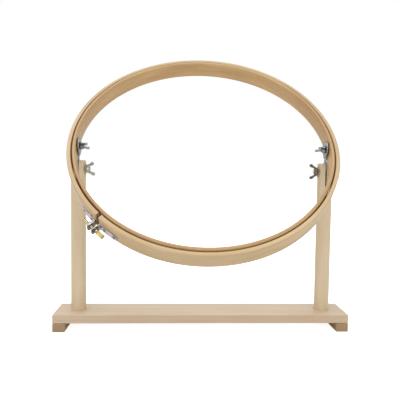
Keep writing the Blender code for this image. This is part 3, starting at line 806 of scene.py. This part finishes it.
def ring_profile(inside, outside, rear, front, edge):
    """The strip's cross-section as (radius, height), with rounded corners."""
    points = []
    corners = (
        (outside - edge, front - edge, 0), (inside + edge, front - edge, pi / 2),
        (inside + edge, rear + edge, pi), (outside - edge, rear + edge, 3 * pi / 2))
    for r, z, start in corners:
        points += arc((r, z), edge, start, start + pi / 2, 4)
    # One more point on each wall ends the part with painted shade near the front.
    points.insert(10, (inside, front - edge - JOINT_SHADE_DEPTH))
    points.append((outside, front - edge - JOINT_SHADE_DEPTH))
    return points


def bent_strip(size, start, sweep, lap=0.0):
    """A strip bent round Z from a start angle. lap is how far its two ends slant along the ring."""
    inside, outside, rear, front = size
    profile = ring_profile(inside, outside, rear, front, RING_EDGE)
    centre = (inside + outside) / 2
    shape = bmesh.new()
    sections = []
    for step in range(RING_STEPS + 1):
        share = step / RING_STEPS
        from_end = min(share, 1 - share) * sweep * centre
        slant = max(0.0, 1 - from_end / (1.5 * lap)) if lap else 0.0
        section = []
        for r, z in profile:
            angle = start + share * sweep + slant * lap / centre * ((r - inside) / (outside - inside) - 0.5)
            section.append(shape.verts.new((r * cos(angle), r * sin(angle), z)))
        sections.append(section)
    for first, second in zip(sections, sections[1:]):
        for i in range(len(profile)):
            j = (i + 1) % len(profile)
            shape.faces.new((first[i], first[j], second[j], second[i]))
    shape.faces.new(sections[0])
    shape.faces.new(list(reversed(sections[-1])))
    bmesh.ops.recalc_face_normals(shape, faces=shape.faces)
    return mesh_of(shape)


def ring_grain(size, start, lap=0.0):
    """Grain that follows the ring from the angle where its strip begins."""
    inside, outside = size[:2]
    centre = (inside + outside) / 2

    def grain(point):
        radius = hypot(point.x, point.y)
        slant = lap / centre * ((radius - inside) / (outside - inside) - 0.5)
        turn = (atan2(point.y, point.x) - start - slant + 1e-5) % tau
        return Vector((turn * centre, point.z, radius))
    return grain


def joint_painted_shade(point):
    """How much painted shade a ring gets there: in the mouth of the joint between the rings, fading out round the
    lower part.
    """
    radius = hypot(point.x, point.y)
    in_joint = INNER_RING[1] - JOINT_SHADE_REACH < radius < OUTER_RING[0] + JOINT_SHADE_REACH
    if not in_joint or point.z < OUTER_RING[3] - RING_EDGE - JOINT_SHADE_DEPTH:
        return 0
    if point.x < 0:
        share = (point.y - SCREW_POINT.y - JOINT_SHADE_ABOVE_CLAMP) / JOINT_SHADE_LEFT_FADE
    else:
        share = (point.y - JOINT_SHADE_RIGHT_LOW) / JOINT_SHADE_RIGHT_FADE
    return min(1, max(0, share))


def make_inner_ring():
    """A steam-bent strip whose ends are tapered and glued over each other."""
    centre = (INNER_RING[0] + INNER_RING[1]) / 2
    sweep = tau - SCARF_LINE / centre
    mesh = bent_strip(INNER_RING, SCARF_ANGLE, sweep, SCARF_LENGTH)
    cutters = []
    for side_name, side in SIDES.items():
        bolt_low, bolt_high = local_box(f"{side_name}_hoop_bolt", HOOP)
        head_face = max(abs(bolt_low.x), abs(bolt_high.x))
        start = head_face + 3 * MM
        depth = start - head_face
        head, shank, end = 5.0 * MM, 2.75 * MM, 20 * MM
        profile = [
            (0, 0), (head, 0), (head, depth + 0.2 * MM), (shank, depth + 2.6 * MM),
            (shank, end), (0, end)]
        cutters.append(moved(
            lathe(profile, 48), place_at((side * start, 0, 0), inwards(side), (0, 0, 1))))
    mesh = carved(mesh, cutters)
    show(
        "inner_ring", mesh, HOOP, ring_grain(INNER_RING, SCARF_ANGLE, SCARF_LENGTH), sharp=50,
        painted_shade_of=joint_painted_shade)


def make_outer_ring():
    """The bent strip that is left open at the clamp."""
    centre = (OUTER_RING[0] + OUTER_RING[1]) / 2
    start = CLAMP_ANGLE + RING_SPLIT / 2 / centre
    mesh = bent_strip(OUTER_RING, start, tau - RING_SPLIT / centre)
    cutters = []
    for end in (LEFT, RIGHT):
        for reach in RIVET_REACHES:
            place = HOOP.inverted() @ rivet_place(end * reach)
            cutters.append(moved(rivet_hole(), place))
    mesh = carved(mesh, cutters)
    show("outer_ring", mesh, HOOP, ring_grain(OUTER_RING, start), sharp=50, painted_shade_of=joint_painted_shade)


# ---------------------------------------------------------------- clamp

def rivet_place(reach):
    """The frame of a rivet on the strap's outer face, its Z pointing into the ring."""
    angle = reach / OUTER_RING[1]
    seat = OUTER_RING[1] + STRAP_THICKNESS + RIVET_STAND_OFF
    outward = Vector((sin(angle), cos(angle), 0))
    local = place_at(outward * seat, -outward, (0, 0, 1))
    return CLAMP @ local


def rivet_hole():
    """The cutter for a rivet's hole, long enough for strap and ring."""
    return rod(RIVET_HOLE_RADIUS, 8 * MM, 24)


def strap_outline(end, ear_face, ear_height, reach):
    """A strap seen along the ring's axis: it hugs the ring, bends up and stands out as an ear."""
    inner = OUTER_RING[1] + STRAP_GAP
    outer = inner + STRAP_THICKNESS
    ear_back = ear_face + STRAP_THICKNESS
    bend = STRAP_BEND_RADIUS
    leave = (ear_back + bend) / outer
    finish = asin(reach / outer)
    bend_centre = (ear_back + bend, (outer + bend) * cos(leave))
    heel = STRAP_THICKNESS + bend
    points = [(ear_face, ear_height), (ear_back, ear_height)]
    points += arc(bend_centre, bend, pi, 3 * pi / 2 - leave, 10)
    points += [(outer * sin(a), outer * cos(a)) for a in
               (leave + (finish - leave) * i / 24 for i in range(1, 25))]
    points += [(inner * sin(a), inner * cos(a)) for a in
               (finish + (leave - finish) * i / 24 for i in range(24))]
    points += arc(bend_centre, heel, 3 * pi / 2 - leave, pi, 10)
    return [(end * x, y) for x, y in points]


def round_ear(mesh, top):
    """Rounds the two corners at the top of a strap's ear, on the edges through its thickness."""
    shape = bmesh.new()
    shape.from_mesh(mesh)
    edges = [
        edge for edge in shape.edges
        if all(vertex.co.y > top - 0.1 * MM for vertex in edge.verts)
        and abs(edge.verts[0].co.z - edge.verts[1].co.z) < 0.01 * MM
        and 0.8 * STRAP_THICKNESS < edge.calc_length() < 1.2 * STRAP_THICKNESS]
    bmesh.ops.bevel(shape, geom=edges, offset=EAR_RADIUS, segments=10, profile=0.5, affect="EDGES")
    shape.to_mesh(mesh)
    shape.free()


def strap_end_cutter(end, reach, width):
    """What is cut from a strap's far end to round it, through its thickness."""
    radius, half, over = STRAP_END_RADIUS, width / 2, 2 * MM
    centre = half - radius + 0.02 * MM
    outline = [
        (-radius, half + over), (over, half + over), (over, -half - over), (-radius, -half - over)]
    outline += arc((-radius, -centre), radius, -pi / 2, 0, 12) + arc((-radius, centre), radius, 0, pi / 2, 12)
    outer = OUTER_RING[1] + STRAP_GAP + STRAP_THICKNESS
    finish = asin(reach / outer)
    outward = Vector((end * sin(finish), cos(finish), 0))
    along = Vector((end * cos(finish), -sin(finish), 0))
    return moved(plate(outline, 6 * MM), place_at(outward * outer, outward, along))


def ear_painted_shade(point):
    """How much painted shade a strap gets there: the ear that stands out of the ring is painted brown as shade."""
    return min(1, max(0, (point.y - OUTER_RING[1] - STRAP_THICKNESS) / (2 * MM)))


def make_strap(name, end):
    """One of the two steel straps, with a hole for the thumb screw and two for its rivets."""
    node = f"{name}_clamp_strap"
    low, high = local_box(node, CLAMP)
    width = high.z - low.z
    reach_x = max(abs(low.x), abs(high.x))
    ear_face = min(abs(low.x), abs(high.x))
    mesh = plate(strap_outline(end, ear_face, high.y, reach_x), width)
    round_ear(mesh, high.y)
    cutters = [strap_end_cutter(end, reach_x, width)]
    cutters.append(moved(rod(2.25 * MM, 12 * MM), place_at((0, SCREW_HEIGHT, 0), (end, 0, 0), (0, 0, 1))))
    inverse = CLAMP.inverted()
    for reach in RIVET_REACHES:
        place = inverse @ rivet_place(end * reach) @ Matrix.Translation((0, 0, -3 * MM))
        cutters.append(moved(rivet_hole(), place))
    mesh = carved(mesh, cutters)
    mesh = rounded(mesh, 0.2 * MM, 50)
    soften(show(node, mesh, CLAMP, straight_grain(0), STRAP_METAL, painted_shade_of=ear_painted_shade))


def make_rivet(node, reach):
    """A domed rivet, slightly flattened by the hammer."""
    place = rivet_place(reach)
    head, shank = local_box(node, place)[1].x, 1.1 * MM
    dome = 0.75 * MM
    profile = [(head * sin(a), -dome * cos(a) ** 0.7) for a in (pi / 2 * i / 8 for i in range(8))]
    profile[0] = (0, -dome)
    profile += [(head, 0), (shank, 0), (shank, 5.2 * MM), (0, 5.2 * MM)]
    show(node, lathe(profile, 36), place, straight_grain(2))


def make_clamp_screw():
    """The brass thumb screw: knurled head, plain neck, fine thread."""
    node = "clamp_screw"
    axis = Vector(JOINTS["clamp_screw_turn"]["axis"])
    origin = Vector(JOINTS["clamp_screw_turn"]["pos_m"])
    place = place_at(origin, -axis, RING_AXIS)
    low, high = local_box(node, place)
    tail, head_end = high.z, low.z
    head, neck, shank = 3.1 * MM, 2.6 * MM, 1.95 * MM
    head_start, neck_start = -8.7 * MM, -5.85 * MM
    ridges = 26
    knurl_low, knurl_high = head_end + 0.8 * MM, head_start - 0.9 * MM
    thread = thread_relief(M4_PITCH, 0.32 * MM, neck_start + 0.6 * MM, tail - 0.2 * MM)

    def relief(angle, height):
        if height > neck_start:
            return thread(angle, height)
        if knurl_low - 0.01 * MM < height < knurl_high + 0.01 * MM:
            return -0.32 * MM * abs(cos(ridges * angle / 2)) ** 1.5
        return 0
    profile = [(0, head_end + 0.35 * MM), (head - 1.6 * MM, head_end + 0.3 * MM), (head - 1.3 * MM, head_end)]
    profile += [(head - 0.75 * MM, head_end), (head - 0.3 * MM, head_end + 0.3 * MM)]
    profile += [(head, knurl_low + (knurl_high - knurl_low) * i / 8) for i in range(9)]
    profile += [(head - 0.35 * MM, head_start - 0.45 * MM), (head - 0.6 * MM, head_start)]
    profile += arc((neck + 0.45 * MM, head_start + 0.5 * MM), 0.45 * MM, 3 * pi / 2, pi, 4)
    profile += [(neck, neck_start - 0.3 * MM), (neck - 0.25 * MM, neck_start), (shank, neck_start)]
    profile += thread_rows(shank, neck_start + 0.1 * MM, tail - 0.35 * MM, M4_PITCH)
    profile += [(shank - 0.4 * MM, tail), (0, tail)]
    show(node, lathe(profile, 104, relief), place, straight_grain(2))


def make_clamp_nut():
    """A square nut with its outer corners turned off."""
    node = "clamp_nut"
    place = place_at(middle(node), JOINTS["clamp_screw_turn"]["axis"], RING_AXIS)
    low, high = local_box(node, place)
    height = high.z - low.z
    side = high.x - low.x
    mesh = box((side, side, height))
    bore = moved(rod(2.15 * MM, 3 * height, 40), Matrix.Translation((0, 0, -1.5 * height)))
    mesh = carved(mesh, [bore])
    corner = side / sqrt(2)
    chamfered = lathe([
        (0, -height / 2), (0.49 * side, -height / 2), (corner, -height / 2 + 0.9 * MM),
        (corner, height), (0, height)], 72)
    mesh = carved(mesh, [chamfered], "INTERSECT")
    mesh = rounded(mesh, 0.15 * MM, 35)
    show(node, mesh, place, straight_grain(2))


def make_clamp_washer():
    """A plain washer with its rims broken."""
    node = "clamp_washer"
    place = place_at(middle(node), JOINTS["clamp_screw_turn"]["axis"], RING_AXIS)
    high = local_box(node, place)[1]
    radius, half, hole, e = high.x, high.z, 2.25 * MM, 0.15 * MM
    profile = [
        (hole + e, -half), (radius - e, -half), (radius, e - half), (radius, half - e),
        (radius - e, half), (hole + e, half), (hole, half - e), (hole, e - half)]
    show(node, lathe(profile, 64, closed=True), place, straight_grain(2))


def make_clamp():
    for name, end in (("upper", RIGHT), ("lower", LEFT)):
        make_strap(name, end)
        for number, reach in enumerate(RIVET_REACHES, start=1):
            make_rivet(f"{name}_strap_rivet_{number}", end * reach)
    make_clamp_screw()
    make_clamp_nut()
    make_clamp_washer()


# ---------------------------------------------------------------- studio

FLOOR_HALF_WIDTH = 12
FLOOR_DROP = 0.1 * MM               # so that the paper and the feet don't share a plane
PAPER = colour(0.78, 0.78, 0.78)
PAPER_GLOW = 0.85
ROOM_LIGHT = 0.89
LIGHT_TARGET = (0, 0, 0.15)
SOFTBOX_SIZE = 1.1
SOFTBOXES = {"left_softbox": ((-1.3, -1.8, 0.5), 5.5), "right_softbox": ((1.3, -1.8, 0.5), 8.5)}
OVERHEAD_DIRECTION = (0.2, 0.1, -1)
OVERHEAD_SPREAD = radians(55)
OVERHEAD_STRENGTH = 1.2
CAMERA_PLACE = (-0.0365, -0.6747, 0.2194)
CAMERA_ANGLES = (-2.725, -3.529, -0.753)    # yaw, pitch and roll in degrees
CAMERA_LENS = 44.9
CAMERA_SENSOR = 36


def make_floor():
    """White paper under the stand."""
    shape = bmesh.new()
    bmesh.ops.create_grid(shape, x_segments=2, y_segments=2, size=FLOOR_HALF_WIDTH)
    floor = bpy.data.objects.new("floor", mesh_of(shape))
    bpy.context.scene.collection.objects.link(floor)
    n = Nodes("paper")
    n.shader.inputs["Base Color"].default_value = PAPER
    n.shader.inputs["Roughness"].default_value = 0.9
    n.shader.inputs["Specular IOR Level"].default_value = 0.1
    # The eye sees the paper whiter than it lights the stand.
    path = n.add("ShaderNodeLightPath", output="Is Camera Ray")
    n.set(n.shader.inputs["Emission Strength"], n.math("MULTIPLY", path, PAPER_GLOW))
    n.shader.inputs["Emission Color"].default_value = WHITE
    floor.data.materials.append(n.material)
    floor.location.z = -FLOOR_DROP


def add_lamp(data, direction):
    """Puts a light that shines in a direction into the scene."""
    lamp = bpy.data.objects.new(data.name, data)
    bpy.context.scene.collection.objects.link(lamp)
    lamp.rotation_euler = Vector(direction).to_track_quat("-Z", "Y").to_euler()
    return lamp


def add_softbox(name, place, watts):
    data = bpy.data.lights.new(name, "AREA")
    data.shape = "RECTANGLE"
    data.size = data.size_y = SOFTBOX_SIZE
    data.energy = watts
    lamp = add_lamp(data, Vector(LIGHT_TARGET) - Vector(place))
    lamp.location = place


def make_studio():
    make_floor()
    world = bpy.data.worlds.new("studio")
    bpy.context.scene.world = world
    world.use_nodes = True
    tree = world.node_tree
    background = tree.nodes["Background"]
    background.inputs["Color"].default_value = WHITE
    # The eye sees plain white; the object is lit by a dimmer room.
    path = tree.nodes.new("ShaderNodeLightPath")
    strength = tree.nodes.new("ShaderNodeMapRange")
    strength.inputs["To Min"].default_value = ROOM_LIGHT
    strength.inputs["To Max"].default_value = 1.0
    tree.links.new(path.outputs["Is Camera Ray"], strength.inputs["Value"])
    tree.links.new(strength.outputs[0], background.inputs["Strength"])
    for name, (place, watts) in SOFTBOXES.items():
        add_softbox(name, place, watts)
    # A wide sun lights the floor as evenly as the stand and keeps the shadows soft.
    data = bpy.data.lights.new("overhead", "SUN")
    data.angle = OVERHEAD_SPREAD
    data.energy = OVERHEAD_STRENGTH
    add_lamp(data, OVERHEAD_DIRECTION)
    bpy.context.scene.view_settings.view_transform = "Standard"


def make_camera():
    """In front of the stand at the hoop's height, turned a little to the right and down."""
    data = bpy.data.cameras.new("camera")
    data.sensor_width = CAMERA_SENSOR
    data.lens = CAMERA_LENS
    camera = bpy.data.objects.new("camera", data)
    bpy.context.scene.collection.objects.link(camera)
    camera.location = CAMERA_PLACE
    yaw, pitch, roll = (radians(angle) for angle in CAMERA_ANGLES)
    look = Matrix.Rotation(yaw, 3, "Z") @ Matrix.Rotation(pitch, 3, "X") @ Matrix.Rotation(roll, 3, "Y")
    camera.rotation_euler = (look @ Matrix.Rotation(pi / 2, 3, "X")).to_euler()
    bpy.context.scene.camera = camera


make_base()
make_fasteners()
for side_name, side in SIDES.items():
    make_bracket(side_name, side)
make_inner_ring()
make_outer_ring()
make_clamp()
make_studio()
make_camera()
